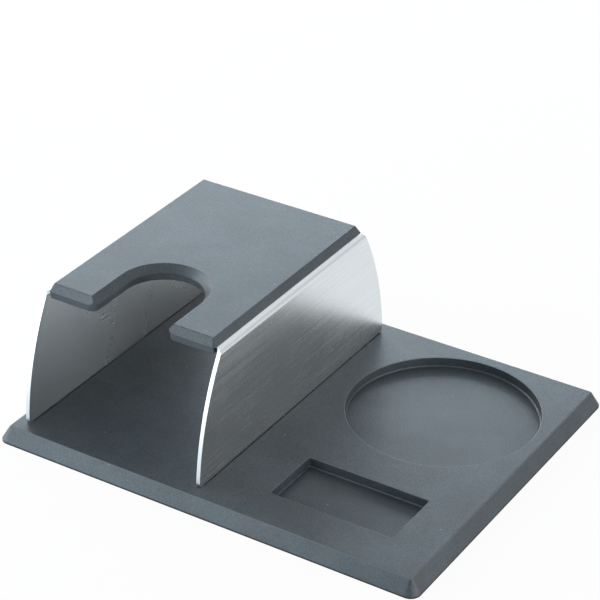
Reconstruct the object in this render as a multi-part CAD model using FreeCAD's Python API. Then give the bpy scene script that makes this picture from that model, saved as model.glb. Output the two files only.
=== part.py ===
import FreeCAD, Part
import math
import os
from FreeCAD import Vector

# Espresso tamping station: a moulded rubber base mat, a folded steel bridge that stands in it, and a
# moulded rubber rest pad that grips the bridge's top. Millimetres, +Z up. The origin is the centre of
# the mat's underside, X runs along the mat's long edge, and the notch in the rest pad opens towards -Y.

# Base mat
mat_length = 231.5
mat_depth = 188.0
mat_height = 8.0
mat_foot_band = 0.8
mat_slope_inset = 4.3
mat_corner_radius = 5.4
mat_top_rounding = 1.0

# Recesses in the mat, placed from the edges of its top face
recess_depth = 5.0
recess_floor_radius = 0.7
recess_rim_radius = 0.3
round_recess_radius = 48.0
round_recess_right_margin = 5.8
round_recess_back_margin = 6.4
tray_recess_length = 65.0
tray_recess_width = 34.0
tray_recess_corner_radius = 1.2
tray_recess_right_margin = 22.3
tray_recess_front_margin = 21.4

# Steel bridge, folded from one sheet, placed from the left edge of the mat's top face
sheet_thickness = 2.0
bridge_width = 101.2
bridge_foot_length = 166.8
bridge_height = 65.5
bridge_left_margin = 5.2
bend_inner_radius = 1.0
sheet_corner_radius = 2.5

# The bowed front and back edges of its walls: how far they lean in at half height and at the top
edge_mid_inset = 5.6
edge_top_inset = 19.8

# The walls' feet: rounded shoulders stand on the mat, and a tongue between them goes into a slot
foot_corner_radius = 2.0
foot_shoulder = 3.0
tongue_depth = 5.5
slot_end_clearance = 0.3
slot_mouth_relief = 0.6
slot_mouth_depth = 1.2

# Rest pad
pad_thickness = 4.0
pad_edge_lean = 2.3
pad_notch_lean = 3.2
pad_foot_corner_radius = 1.6
pad_top_corner_radius = 0.5
pad_top_rounding = 0.4
pad_rim = 1.6
groove_clearance = 0.1
notch_radius = 20.2
notch_straight = 26.5
prong_corner_radius = 4.0
lip_setback = 0.5
lip_neck_height = 0.45
lip_neck_depth = 0.4
lip_under_thickness = 1.8
lip_reach = 6.0
lip_inner_corner_radius = 6.0
lip_side_margin = 1.2
lip_rounding = 0.4

# Extra length on tools that cut right through, and the gap under which two points count as one
overrun = 10.0
same_place = 1e-4

# Turn between two points on the sheet's cut edge as it goes round a bend, in degrees
bend_step = 10


# Places worked out from the sizes above
mat_top_right = mat_length / 2 - mat_slope_inset
mat_top_back = mat_depth / 2 - mat_slope_inset
recess_floor = mat_height - recess_depth
round_recess_x = mat_top_right - round_recess_right_margin - round_recess_radius
round_recess_y = mat_top_back - round_recess_back_margin - round_recess_radius
tray_recess_x = mat_top_right - tray_recess_right_margin - tray_recess_length / 2
tray_recess_y = -mat_top_back + tray_recess_front_margin + tray_recess_width / 2

bridge_left = -mat_top_right + bridge_left_margin
bridge_right = bridge_left + bridge_width
bridge_x = (bridge_left + bridge_right) / 2
bridge_front = -bridge_foot_length / 2
bridge_back = bridge_foot_length / 2
bend_outer_radius = bend_inner_radius + sheet_thickness
bend_neutral_radius = bend_inner_radius + sheet_thickness / 2
wall_straight = bridge_height - bend_outer_radius
sheet_top = mat_height + bridge_height
sheet_underside = sheet_top - sheet_thickness
bend_start = mat_height + wall_straight
flat_left = bridge_left + bend_outer_radius
flat_right = bridge_right - bend_outer_radius
tongue_front = bridge_front + foot_shoulder
tongue_back = bridge_back - foot_shoulder
tongue_bottom = mat_height - tongue_depth

edge_circle = Part.Circle(
    Vector(0, 0, 0),
    Vector(bridge_height / 2, edge_mid_inset, 0),
    Vector(bridge_height, edge_top_inset, 0),
)


def edge_inset(run):
    """How far a wall's bowed edge leans in, at a length measured up the unfolded sheet from the mat."""
    rise = run - edge_circle.Center.x
    return edge_circle.Center.y - math.sqrt(edge_circle.Radius ** 2 - rise ** 2)


plate_inset = edge_inset(wall_straight + bend_neutral_radius * math.pi / 2)
plate_front = bridge_front + plate_inset
plate_back = bridge_back - plate_inset
pad_front = plate_front - pad_rim
pad_back = plate_back + pad_rim
pad_top = sheet_top + pad_thickness
notch_y = pad_front + notch_straight
lip_bottom = sheet_underside - lip_under_thickness


def box(x0, x1, y0, y1, z0, z1):
    """A block between two corners."""
    return Part.makeBox(x1 - x0, y1 - y0, z1 - z0, Vector(x0, y0, z0))


def edges_where(shape, test):
    """The edges of a shape whose every vertex passes a test."""
    return [edge for edge in shape.Edges if all(test(vertex.Point) for vertex in edge.Vertexes)]


def at_height(z):
    """A test for points on a level."""
    return lambda point: abs(point.z - z) < same_place


def rounded_rectangle(x0, x1, y0, y1, radius, z):
    """A closed outline on a level, with round corners."""
    corners = (
        (x1 - radius, y0 + radius, -90),
        (x1 - radius, y1 - radius, 0),
        (x0 + radius, y1 - radius, 90),
        (x0 + radius, y0 + radius, 180),
    )
    arcs = []
    for x, y, start in corners:
        circle = Part.Circle(Vector(x, y, z), Vector(0, 0, 1), radius)
        arcs.append(Part.ArcOfCircle(circle, math.radians(start), math.radians(start + 90)))
    edges = []
    for arc, following in zip(arcs, arcs[1:] + arcs[:1]):
        edges.append(arc.toShape())
        edges.append(Part.makeLine(arc.EndPoint, following.StartPoint))
    return Part.Wire(edges)


def notched_prism(x0, x1, y0, y1, radius, corner_radius, z0, z1):
    """A flat plate with the U notch cut in from its front edge, its prongs' inner corners rounded."""
    plate = box(x0, x1, y0, y1, z0, z1)
    throat = box(bridge_x - radius, bridge_x + radius, y0 - overrun, notch_y, z0 - overrun, z1 + overrun)
    round_end = Part.makeCylinder(radius, z1 - z0 + 2 * overrun, Vector(bridge_x, notch_y, z0 - overrun))
    plate = plate.cut(throat.fuse(round_end))

    def at_prong_corner(point):
        from_notch = abs(abs(point.x - bridge_x) - radius)
        return abs(point.y - y0) < same_place and from_notch < same_place

    corners = edges_where(plate, at_prong_corner)
    upright = [edge for edge in corners if abs(edge.Vertexes[0].Z - edge.Vertexes[-1].Z) > same_place]
    return plate.makeFillet(corner_radius, upright)


# Base mat
def mat_blank():
    """The slab: an upright foot band, then sloped edges up to a softly rounded top face."""
    half_length = mat_length / 2
    half_depth = mat_depth / 2
    foot = rounded_rectangle(-half_length, half_length, -half_depth, half_depth, mat_corner_radius, 0)
    shoulder = foot.translated(Vector(0, 0, mat_foot_band))
    top = rounded_rectangle(
        -half_length + mat_slope_inset,
        half_length - mat_slope_inset,
        -half_depth + mat_slope_inset,
        half_depth - mat_slope_inset,
        mat_corner_radius - mat_slope_inset,
        mat_height,
    )
    band = Part.Face(foot).extrude(Vector(0, 0, mat_foot_band))
    slope = Part.makeLoft([shoulder, top], True, True)
    blank = band.fuse(slope).removeSplitter()
    return blank.makeFillet(mat_top_rounding, edges_where(blank, at_height(mat_height)))


def round_recess():
    """What is taken out for the tamper's round place."""
    tool = Part.makeCylinder(
        round_recess_radius, recess_depth + overrun, Vector(round_recess_x, round_recess_y, recess_floor)
    )
    return tool.makeFillet(recess_floor_radius, edges_where(tool, at_height(recess_floor)))


def tray_recess():
    """What is taken out for the rectangular place."""
    outline = rounded_rectangle(
        tray_recess_x - tray_recess_length / 2,
        tray_recess_x + tray_recess_length / 2,
        tray_recess_y - tray_recess_width / 2,
        tray_recess_y + tray_recess_width / 2,
        tray_recess_corner_radius,
        recess_floor,
    )
    tool = Part.Face(outline).extrude(Vector(0, 0, recess_depth + overrun))
    return tool.makeFillet(recess_floor_radius, edges_where(tool, at_height(recess_floor)))


def wall_slot(x0, x1):
    """The blind slot that grips one wall's tongue, its mouth eased so the rubber doesn't fold up."""
    y0 = tongue_front - slot_end_clearance
    y1 = tongue_back + slot_end_clearance
    slot = box(x0, x1, y0, y1, tongue_bottom, mat_height + overrun)
    mouth = Part.makePolygon([
        Vector(x0 - slot_mouth_relief, y0, mat_height),
        Vector(x0, y0, mat_height - slot_mouth_depth),
        Vector(x1, y0, mat_height - slot_mouth_depth),
        Vector(x1 + slot_mouth_relief, y0, mat_height),
        Vector(x0 - slot_mouth_relief, y0, mat_height),
    ])
    return slot.fuse(Part.Face(mouth).extrude(Vector(0, y1 - y0, 0)))


def base_mat():
    """The moulded rubber mat with its two recesses and the slots for the bridge's walls."""
    mat = mat_blank().cut(round_recess()).cut(tray_recess())
    reach = mat_top_right - mat_top_rounding

    def at_recess_rim(point):
        return abs(point.z - mat_height) < same_place and bridge_right < point.x < reach

    mat = mat.makeFillet(recess_rim_radius, edges_where(mat, at_recess_rim))
    mat = mat.cut(wall_slot(bridge_left, bridge_left + sheet_thickness))
    return mat.cut(wall_slot(bridge_right - sheet_thickness, bridge_right))


# Steel bridge
def right_wall():
    """The flat right wall, from its tongue in the mat up to where the bend starts."""
    x = bridge_right - sheet_thickness
    half_way = mat_height + wall_straight / 2
    half_inset = edge_inset(wall_straight / 2)
    top_inset = edge_inset(wall_straight)

    def at(y, z):
        return Vector(x, y, z)

    front_edge = Part.Arc(
        at(bridge_front, mat_height),
        at(bridge_front + half_inset, half_way),
        at(bridge_front + top_inset, bend_start),
    )
    back_edge = Part.Arc(
        at(bridge_back - top_inset, bend_start),
        at(bridge_back - half_inset, half_way),
        at(bridge_back, mat_height),
    )
    foot = Part.makePolygon([
        at(bridge_back, mat_height),
        at(tongue_back, mat_height),
        at(tongue_back, tongue_bottom),
        at(tongue_front, tongue_bottom),
        at(tongue_front, mat_height),
        at(bridge_front, mat_height),
    ])
    head = Part.makeLine(front_edge.EndPoint, back_edge.StartPoint)
    outline = Part.Wire([front_edge.toShape(), head, back_edge.toShape()] + foot.Edges)
    wall = Part.Face(outline).extrude(Vector(sheet_thickness, 0, 0))

    def at_foot_corner(point):
        from_end = min(abs(point.y - bridge_front), abs(point.y - bridge_back))
        return abs(point.z - mat_height) < same_place and from_end < same_place

    return wall.makeFillet(foot_corner_radius, edges_where(wall, at_foot_corner))


def right_bend():
    """The bend between wall and top, its ends following the sheet's cut edge as it folds over."""
    x = flat_right
    z = sheet_top - bend_outer_radius
    length = bridge_foot_length
    outer = Part.makeCylinder(bend_outer_radius, length, Vector(x, bridge_front, z), Vector(0, 1, 0))
    inner = Part.makeCylinder(bend_inner_radius, length, Vector(x, bridge_front, z), Vector(0, 1, 0))
    quarter = box(x, x + bend_outer_radius, bridge_front, bridge_back, z, z + bend_outer_radius)
    bend = outer.cut(inner).common(quarter)

    margin = bend_inner_radius / 4
    turns = [math.radians(angle) for angle in range(-bend_step, 90 + 2 * bend_step, bend_step)]

    def cut_edge(radius):
        points = [
            Vector(
                x + radius * math.cos(turn),
                bridge_front + edge_inset(wall_straight + bend_neutral_radius * turn),
                z + radius * math.sin(turn),
            )
            for turn in turns
        ]
        curve = Part.BSplineCurve()
        curve.interpolate(points)
        return curve.toShape()

    cut_face = Part.makeRuledSurface(
        cut_edge(bend_inner_radius - margin), cut_edge(bend_outer_radius + margin)
    )
    waste = cut_face.extrude(Vector(0, -plate_inset - overrun, 0))
    return bend.cut(waste).cut(waste.mirror(Vector(0, 0, 0), Vector(0, 1, 0)))


def top_plate():
    """The flat top of the bridge, with the notch cut in from its front edge."""
    return notched_prism(
        flat_left,
        flat_right,
        plate_front,
        plate_back,
        notch_radius + pad_rim,
        sheet_corner_radius,
        sheet_underside,
        sheet_top,
    )


def steel_bridge():
    """One sheet folded down at both sides."""
    side = right_wall().fuse(right_bend())
    other_side = side.mirror(Vector(bridge_x, 0, 0), Vector(1, 0, 0))
    return side.fuse([top_plate(), other_side]).removeSplitter()


# Rest pad
def notch_cutter():
    """The U notch through the pad's slab, its wall leaning outwards up to the top face."""
    spread = notch_radius + pad_notch_lean
    round_end = Part.makeCone(notch_radius, spread, pad_thickness, Vector(bridge_x, notch_y, sheet_top))
    throat = Part.makePolygon([
        Vector(bridge_x - notch_radius, notch_y, sheet_top),
        Vector(bridge_x - spread, notch_y, pad_top),
        Vector(bridge_x + spread, notch_y, pad_top),
        Vector(bridge_x + notch_radius, notch_y, sheet_top),
        Vector(bridge_x - notch_radius, notch_y, sheet_top),
    ])
    return round_end.fuse(Part.Face(throat).extrude(Vector(0, -notch_straight - overrun, 0)))


def pad_slab():
    """The slab on top of the sheet: leaning edges all round, prong corners rounded at the foot."""
    foot = rounded_rectangle(flat_left, flat_right, pad_front, pad_back, pad_foot_corner_radius, sheet_top)
    top = rounded_rectangle(
        flat_left + pad_edge_lean,
        flat_right - pad_edge_lean,
        pad_front + pad_edge_lean,
        pad_back - pad_edge_lean,
        pad_top_corner_radius,
        pad_top,
    )
    slab = Part.makeLoft([foot, top], True, True).cut(notch_cutter())
    rounded = notched_prism(
        flat_left, flat_right, pad_front, pad_back, notch_radius, prong_corner_radius, sheet_top, pad_top
    )
    slab = slab.common(rounded).removeSplitter()
    return slab.makeFillet(pad_top_rounding, edges_where(slab, at_height(pad_top)))


def pad_lip():
    """The lip round the sheet's front, back and notch edges, with a fine neck between it and the slab."""

    def ring(setback, bottom, top):
        return notched_prism(
            flat_left + lip_side_margin,
            flat_right - lip_side_margin,
            pad_front + setback,
            pad_back - setback,
            notch_radius + setback,
            prong_corner_radius,
            bottom,
            top,
        )

    inward = pad_rim + lip_reach
    neck_bottom = sheet_top - lip_neck_height
    lip = ring(lip_setback, lip_bottom, neck_bottom)
    lip = lip.makeFillet(lip_rounding, edges_where(lip, at_height(lip_bottom)))
    lip = lip.fuse(ring(lip_setback + lip_neck_depth, neck_bottom, sheet_top))
    middle = notched_prism(
        flat_left - overrun,
        flat_right + overrun,
        pad_front + inward,
        pad_back - inward,
        notch_radius + inward,
        lip_inner_corner_radius,
        lip_bottom - overrun,
        sheet_top + overrun,
    )
    groove = notched_prism(
        flat_left - overrun,
        flat_right + overrun,
        plate_front - groove_clearance,
        plate_back + groove_clearance,
        notch_radius + pad_rim - groove_clearance,
        sheet_corner_radius,
        sheet_underside,
        sheet_top,
    )
    return lip.cut(middle).cut(groove)


def rest_pad():
    """The moulded rubber pad that the filter holder's spouts and basket rest on."""
    return pad_slab().fuse(pad_lip()).removeSplitter()


nodes = {
    "base_mat": base_mat(),
    "steel_bridge": steel_bridge(),
    "rest_pad": rest_pad(),
}

os.makedirs("parts", exist_ok=True)
for name, shape in nodes.items():
    solid = shape.Solids[0]
    solid.exportStep("parts/" + name + ".step")
    extent = solid.BoundBox
    print(name, "solids", len(shape.Solids), "valid", solid.isValid(), "volume %.1f" % solid.Volume)
    print("  X %.2f to %.2f, Y %.2f to %.2f" % (extent.XMin, extent.XMax, extent.YMin, extent.YMax))
    print("  Z %.2f to %.2f" % (extent.ZMin, extent.ZMax))
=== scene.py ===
"""Finishes for the tamping station's mat, pad and bridge, a white studio, and the photograph's view."""
import math

import bpy
from mathutils import Matrix, Vector


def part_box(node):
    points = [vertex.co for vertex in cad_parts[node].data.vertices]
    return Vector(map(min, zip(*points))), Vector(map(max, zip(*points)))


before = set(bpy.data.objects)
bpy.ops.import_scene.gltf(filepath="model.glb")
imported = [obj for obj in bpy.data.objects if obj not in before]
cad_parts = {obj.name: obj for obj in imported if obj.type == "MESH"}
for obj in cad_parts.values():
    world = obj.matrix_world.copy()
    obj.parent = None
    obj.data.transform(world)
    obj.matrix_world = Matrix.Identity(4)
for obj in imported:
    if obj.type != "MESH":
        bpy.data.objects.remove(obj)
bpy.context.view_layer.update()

# The camera: where it looks from, in degrees and metres, and the point it looks at
AZIMUTH = 31.869
ELEVATION = 30.706
ROLL = 0.537
DISTANCE = 1.2234
TARGET = Vector((-0.05696, 0.08643, 0.008))
LENS = 139.53
SENSOR = 36.0

# The lamps: the point they aim at and, where a lamp doesn't say, how far from it they stand, in metres
LAMP_AIM = Vector((0.0, 0.0, 0.03))
LAMP_DISTANCE = 1.7

# The floor: its side in metres, its colour in soft light, and how much of it glows white where it is seen
FLOOR_SIDE = 12.0
FLOOR_COLOUR = (0.86, 0.86, 0.86, 1.0)
FLOOR_GLOW = 0.94

# The surround: white, faintly blue for mirrors, and half as bright in soft light
WHITE = (1.0, 1.0, 1.0, 1.0)
MIRRORED_WHITE = (0.88, 0.95, 1.0, 1.0)
SOFT_LIGHT = 0.5

# A dimmer band in it for mirrors, by how far a ray of length 1 rises: middle, core, reach and brightness
BAND_RISE = 0.3
BAND_CORE = 0.02
BAND_REACH = 0.42
BAND_LIGHT = 0.70


class Tree:
    """A short way to write a node tree: each call adds a node and gives back its output."""

    def __init__(self, owner):
        owner.use_nodes = True
        self.tree = owner.node_tree
        self.tree.nodes.clear()

    def node(self, kind, inputs=None, **settings):
        """Adds a node and gives back the node itself."""
        made = self.tree.nodes.new(kind)
        for name, value in settings.items():
            setattr(made, name, value)
        for name, value in (inputs or {}).items():
            socket = made.inputs[name]
            if isinstance(value, bpy.types.NodeSocket):
                self.tree.links.new(value, socket)
            else:
                socket.default_value = value
        return made

    def math(self, operation, a, b=0.0, clamp=False):
        return self.node("ShaderNodeMath", {0: a, 1: b}, operation=operation, use_clamp=clamp).outputs[0]

    def plus(self, a, b):
        return self.math("ADD", a, b)

    def times(self, a, b):
        return self.math("MULTIPLY", a, b)

    def vector(self, operation, a, b=(0.0, 0.0, 0.0)):
        return self.node("ShaderNodeVectorMath", {0: a, 1: b}, operation=operation).outputs[0]

    def part(self, vector, axis):
        """One number of a vector."""
        return self.node("ShaderNodeSeparateXYZ", {0: vector}).outputs[axis]

    def ramp(self, value, low, high, to_low=0.0, to_high=1.0):
        """A smooth step from one value to another."""
        return self.node(
            "ShaderNodeMapRange",
            {"Value": value, "From Min": low, "From Max": high, "To Min": to_low, "To Max": to_high},
            interpolation_type="SMOOTHSTEP",
        ).outputs[0]

    def noise(self, place, scale, detail, roughness):
        return self.node(
            "ShaderNodeTexNoise",
            {"Vector": place, "Scale": scale, "Detail": detail, "Roughness": roughness},
        ).outputs["Fac"]

    def place(self, scale=(1.0, 1.0, 1.0), shift=(0.0, 0.0, 0.0)):
        """Where a point is on the object, in metres, stretched and moved for a texture."""
        where = self.node("ShaderNodeTexCoord").outputs["Object"]
        return self.node("ShaderNodeMapping", {"Vector": where, "Scale": scale, "Location": shift}).outputs[0]

    def normal(self):
        """The way the surface faces."""
        return self.node("ShaderNodeNewGeometry").outputs["Normal"]

    def ray(self, kind):
        """One on rays of a kind, and none on the others."""
        return self.node("ShaderNodeLightPath").outputs[kind]

    def colour_mix(self, share, a, b, blend="MIX"):
        inputs = {0: share, 6: a, 7: b}
        return self.node("ShaderNodeMix", inputs, data_type="RGBA", blend_type=blend).outputs[2]

    def shaded(self, colour, level):
        """A colour made darker or lighter by a level."""
        grey = self.node("ShaderNodeCombineColor", {0: level, 1: level, 2: level}).outputs[0]
        return self.colour_mix(1.0, colour, grey, "MULTIPLY")


def srgb(red, green, blue):
    """A colour given as it looks on screen, from 0 to 255."""
    def linear(level):
        level /= 255
        return level / 12.92 if level <= 0.04045 else ((level + 0.055) / 1.055) ** 2.4

    return (linear(red), linear(green), linear(blue), 1.0)


# Rubber: its colours, and where its textures start on each piece
RUBBER_BODY = srgb(52, 59, 64)
RUBBER_PALE = srgb(61, 70, 75)
RUBBER_BLUE = srgb(50, 74, 82)
RUBBER_STAIN = srgb(68, 67, 66)
# A pale highlight painted on the mat's rounded top edge, not a colour of the rubber
RUBBER_PAINTED_HIGHLIGHT = srgb(104, 112, 116)
RUBBER_DUST = srgb(170, 178, 184)
MAT_SHIFT = (0.3, 0.1, 0.7)
PAD_SHIFT = (0.9, 0.4, 0.2)

# How many of the rubber's marks there are to a metre
CLOUDS = 26.0
PATCHES = 90.0
STAINS = 60.0
GRAIN = 1300.0
DUST_CELLS = 230.0

# How much the marks show, the share of dust cells that hold a speck, and a speck's radius in its cell
PATCH_SHARE = 0.35
STAIN_SHARE = 0.3
DUST_SHARE = 0.6
DUST_CHANCE = 0.04
DUST_RADIUS = 0.07
GRAIN_SHADE = (0.7, 1.3)
GRAIN_STRENGTH = 0.27
GRAIN_DEPTH = 0.0003
RUBBER_ROUGHNESS = (0.425, 0.415)

# The mat's foot, where a shadow is painted: the heights between which it turns from dark to lit, in metres,
# how dark the painted shadow is, and how dull the foot is
FOOT_SHADOW_HEIGHTS = (0.0003, 0.0012)
FOOT_PAINTED_SHADOW = 0.1
FOOT_DULLNESS = 0.5

# The mat's rounded top edge, where a pale highlight is painted: how far under the top face the painted
# highlight fades out and is full, in metres, its strength, and how far up the rounding faces where it starts
# at the slope and where it ends at the top
EDGE_HIGHLIGHT_DEPTHS = (0.0015, 0.0008)
EDGE_HIGHLIGHT_SHARE = 0.6
FROM_SLOPE = (0.58, 0.75)
FROM_TOP = (0.999, 0.97)

# Steel: its sheet and its cut edges, and how far along Y a cut edge faces
STEEL_SHEET = (0.80, 0.79, 0.775, 1.0)
STEEL_CUT = (0.80, 0.81, 0.82, 1.0)
CUT_DULLNESS = 0.2
CUT_FACING = (0.55, 0.75)

# How many of its marks there are to a metre, and how long its streaks are drawn out along Y
FINE_STREAKS = 1900.0
BROAD_STREAKS = 600.0
HAZE = 26.0
FINE_STRETCH = (1.0, 0.01, 1.0)
BROAD_STRETCH = (1.0, 0.02, 1.0)

# How far the streaks change the steel's brightness and roughness
STREAK_SHADE = (-0.045, 0.02)
STREAK_ROUGHNESS = (-0.01, 0.01)
STEEL_ROUGHNESS = (0.255, 0.28)

# Inside the bridge: the share of the streaks that is left, and how far a face there looks back to the middle
INNER_STREAKS = 0.15
INSIDE = (-0.02, -0.01)

# How far the sheet's shading leans up
BOW = (0.0, 0.0, 0.048)


def rubber(name, shift, top=None):
    """Matte moulded rubber: fine grain, faint clouds, bluer patches, stains and a few pale specks of dust.

    A piece that stands on the bench gives the height of its top face, for the shadow painted at its foot and
    the highlight painted on its rounded top edge.
    """
    material = bpy.data.materials.new(name)
    t = Tree(material)
    here = t.place(shift=shift)
    elsewhere = t.place(shift=shift[::-1])
    clouds = t.ramp(t.noise(here, CLOUDS, detail=3.0, roughness=0.6), 0.36, 0.66)
    patches = t.ramp(t.noise(elsewhere, PATCHES, detail=4.0, roughness=0.6), 0.5, 0.75)
    stains = t.ramp(t.noise(elsewhere, STAINS, detail=5.0, roughness=0.65), 0.5, 0.3)
    grain = t.noise(here, GRAIN, detail=2.0, roughness=0.7)
    colour = t.colour_mix(clouds, RUBBER_BODY, RUBBER_PALE)
    colour = t.colour_mix(t.times(patches, PATCH_SHARE), colour, RUBBER_BLUE)
    colour = t.colour_mix(t.times(stains, STAIN_SHARE), colour, RUBBER_STAIN)
    colour = t.shaded(colour, t.ramp(grain, 0.3, 0.7, *GRAIN_SHADE))
    colour = t.colour_mix(t.times(dust(t, here), DUST_SHARE), colour, RUBBER_DUST)
    roughness = t.ramp(clouds, 0.0, 1.0, *RUBBER_ROUGHNESS)
    if top is not None:
        height = t.part(t.place(), "Z")
        # A pale highlight painted on the mat's rounded top edge
        colour = t.colour_mix(t.times(painted_edge_highlight(t, height, top), EDGE_HIGHLIGHT_SHARE), colour, RUBBER_PAINTED_HIGHLIGHT)
        # A shadow painted on the lowest millimetre of the mat's foot, which is also made duller there
        colour = t.shaded(colour, t.ramp(height, *FOOT_SHADOW_HEIGHTS, FOOT_PAINTED_SHADOW, 1.0))
        roughness = t.plus(roughness, t.ramp(height, *FOOT_SHADOW_HEIGHTS, FOOT_DULLNESS, 0.0))
    bump = t.node("ShaderNodeBump", {"Strength": GRAIN_STRENGTH, "Distance": GRAIN_DEPTH, "Height": grain})
    shader = t.node(
        "ShaderNodeBsdfPrincipled",
        {
            "Base Color": colour,
            "Roughness": roughness,
            "IOR": 1.5,
            "Specular IOR Level": 0.5,
            "Normal": bump.outputs[0],
        },
    )
    t.node("ShaderNodeOutputMaterial", {"Surface": shader.outputs[0]})
    return material


def dust(t, place):
    """One on a round speck in the middle of a few cells, and none elsewhere."""
    cells = t.node("ShaderNodeTexVoronoi", {"Vector": place, "Scale": DUST_CELLS}, feature="F1")
    chance = t.node("ShaderNodeSeparateColor", {0: cells.outputs["Color"]}).outputs[0]
    near = t.math("LESS_THAN", cells.outputs["Distance"], DUST_RADIUS)
    return t.times(near, t.math("GREATER_THAN", chance, 1.0 - DUST_CHANCE))


def painted_edge_highlight(t, height, top):
    """Where the edge highlight is painted: one on the rounding between the top face and the sloped sides, and
    none on the faces beside it.
    """
    upward = t.part(t.normal(), "Z")
    rounded = t.times(t.ramp(upward, *FROM_SLOPE), t.ramp(upward, *FROM_TOP))
    fades, full = (top - depth for depth in EDGE_HIGHLIGHT_DEPTHS)
    return t.times(rounded, t.ramp(height, fades, full))


def brushed_steel(name, middle):
    """Stainless steel brushed along Y: streaked outside the bridge, calmer inside, brighter where it is cut.

    Its shading leans up a little, as on a sheet that bows, so its reflections lie where the photograph has
    them. The middle is the bridge's own in X, and a face that looks towards it is inside.
    """
    material = bpy.data.materials.new(name)
    t = Tree(material)
    fine = t.noise(t.place(scale=FINE_STRETCH), FINE_STREAKS, detail=2.0, roughness=0.6)
    broad = t.noise(t.place(scale=BROAD_STRETCH), BROAD_STREAKS, detail=2.0, roughness=0.5)
    haze = t.noise(t.place(), HAZE, detail=2.0, roughness=0.5)
    normal = t.normal()
    cut = t.ramp(t.math("ABSOLUTE", t.part(normal, "Y")), *CUT_FACING)
    across = t.math("SUBTRACT", t.part(t.place(), "X"), middle)
    outward = t.times(across, t.part(normal, "X"))
    marked = t.ramp(outward, *INSIDE, INNER_STREAKS, 1.0)
    streak = t.plus(t.times(fine, 0.5), t.times(broad, 0.5))
    shade = t.plus(t.times(t.ramp(streak, 0.35, 0.65, *STREAK_SHADE), marked), 1.0)
    colour = t.colour_mix(cut, t.shaded(STEEL_SHEET, shade), STEEL_CUT)
    uneven = t.times(t.ramp(broad, 0.35, 0.65, *STREAK_ROUGHNESS), marked)
    brushed = t.plus(t.ramp(haze, 0.3, 0.7, *STEEL_ROUGHNESS), uneven)
    shader = t.node(
        "ShaderNodeBsdfPrincipled",
        {
            "Base Color": colour,
            "Metallic": 1.0,
            "Roughness": t.plus(brushed, t.times(cut, CUT_DULLNESS)),
            "Anisotropic": 0.6,
            "Tangent": t.vector("CROSS_PRODUCT", normal, (0.0, 1.0, 0.0)),
            "Normal": t.vector("NORMALIZE", t.vector("ADD", normal, BOW)),
        },
    )
    t.node("ShaderNodeOutputMaterial", {"Surface": shader.outputs[0]})
    return material


def seen_white(t):
    """One where a ray comes straight from the camera, a mirror or glass, and none for soft light."""
    seen = t.math("ADD", t.ray("Is Camera Ray"), t.ray("Is Glossy Ray"), clamp=True)
    return t.math("ADD", seen, t.ray("Is Transmission Ray"), clamp=True)


def white(t):
    """White for the camera, and the faintly blue white of a studio for mirrors."""
    return t.colour_mix(t.ray("Is Glossy Ray"), WHITE, MIRRORED_WHITE)


def floor():
    """A white floor that keeps a faint shadow."""
    bpy.ops.mesh.primitive_plane_add(size=FLOOR_SIDE)
    plane = bpy.context.object
    plane.name = "studio_floor"
    material = bpy.data.materials.new("studio_white")
    t = Tree(material)
    soft = t.node("ShaderNodeBsdfDiffuse", {"Color": FLOOR_COLOUR}).outputs[0]
    glow = t.node("ShaderNodeEmission", {"Color": white(t), "Strength": 1.0}).outputs[0]
    share = t.times(seen_white(t), FLOOR_GLOW)
    both = t.node("ShaderNodeMixShader", {0: share, 1: soft, 2: glow}).outputs[0]
    t.node("ShaderNodeOutputMaterial", {"Surface": both})
    plane.data.materials.append(material)


def surround():
    """A white surround, with a band near the horizon that is a little dimmer in mirrors."""
    world = bpy.data.worlds.new("studio")
    bpy.context.scene.world = world
    t = Tree(world)
    rise = t.part(t.node("ShaderNodeTexCoord").outputs["Generated"], "Z")
    away = t.math("ABSOLUTE", t.math("SUBTRACT", rise, BAND_RISE))
    band = t.ramp(away, BAND_CORE, BAND_REACH, BAND_LIGHT, 1.0)
    dimmed = t.plus(t.times(t.ray("Is Glossy Ray"), t.math("SUBTRACT", band, 1.0)), 1.0)
    strength = t.times(t.ramp(seen_white(t), 0.0, 1.0, SOFT_LIGHT, 1.0), dimmed)
    light = t.node("ShaderNodeBackground", {"Color": white(t), "Strength": strength}).outputs[0]
    t.node("ShaderNodeOutputWorld", {"Surface": light})


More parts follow.
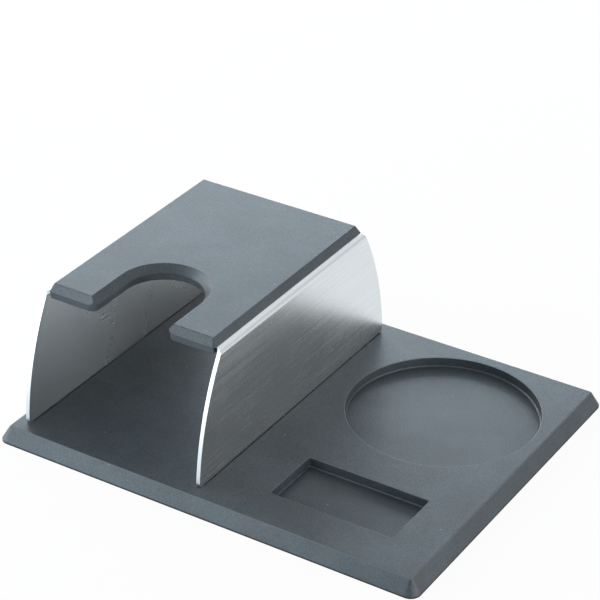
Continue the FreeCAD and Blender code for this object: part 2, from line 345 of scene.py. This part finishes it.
def lamp(name, azimuth, elevation, size, power, colour, distance=LAMP_DISTANCE):
    """A soft lamp aimed at the object, at an azimuth from +Y towards +X and an elevation, in degrees."""
    az, el = math.radians(azimuth), math.radians(elevation)
    way = Vector((math.sin(az) * math.cos(el), math.cos(az) * math.cos(el), math.sin(el)))
    light = bpy.data.lights.new(name, "AREA")
    light.shape = "RECTANGLE"
    light.size, light.size_y = size
    light.energy = power
    light.color = colour
    holder = bpy.data.objects.new(name, light)
    bpy.context.scene.collection.objects.link(holder)
    holder.location = LAMP_AIM + way * distance
    holder.rotation_euler = (-way).to_track_quat("-Z", "Y").to_euler()


def camera():
    """The photograph's view."""
    az, el, roll = (math.radians(angle) for angle in (AZIMUTH, ELEVATION, ROLL))
    back = Vector((math.sin(az) * math.cos(el), -math.cos(az) * math.cos(el), math.sin(el)))
    level = Vector((math.cos(az), math.sin(az), 0.0))
    upright = back.cross(level)
    right = math.cos(roll) * level + math.sin(roll) * upright
    up = -math.sin(roll) * level + math.cos(roll) * upright
    data = bpy.data.cameras.new("photo_view")
    data.lens = LENS
    data.sensor_width = SENSOR
    holder = bpy.data.objects.new("photo_view", data)
    bpy.context.scene.collection.objects.link(holder)
    turn = Matrix((right, up, back)).transposed().to_4x4()
    holder.matrix_world = Matrix.Translation(TARGET + back * DISTANCE) @ turn
    bpy.context.scene.camera = holder


def dress(node, material):
    """Gives a solid of the frame its finish."""
    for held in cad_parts[node].material_slots:
        held.material = material


mat_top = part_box("base_mat")[1][2]
bridge_low, bridge_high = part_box("steel_bridge")
bridge_middle = (bridge_low[0] + bridge_high[0]) / 2

dress("base_mat", rubber("mat_rubber", MAT_SHIFT, top=mat_top))
dress("rest_pad", rubber("pad_rubber", PAD_SHIFT))
dress("steel_bridge", brushed_steel("steel", bridge_middle))

floor()
surround()
lamp("back_left_softbox", -32.0, 14.0, size=(1.3, 0.9), power=18.6, colour=(0.756, 0.891, 1.0))
lamp("left_softbox", -85.0, 14.0, size=(2.4, 1.0), power=30.0, colour=(0.932, 0.979, 1.0))
lamp(
    "front_left_softbox", -136.0, 13.0, size=(0.9, 0.5), power=6.2, colour=(0.748, 0.889, 1.0), distance=1.0
)
lamp("right_softbox", 95.0, 9.0, size=(2.4, 0.5), power=18.0, colour=(1.0, 0.98, 0.98))
camera()
bpy.context.scene.view_settings.view_transform = "Standard"
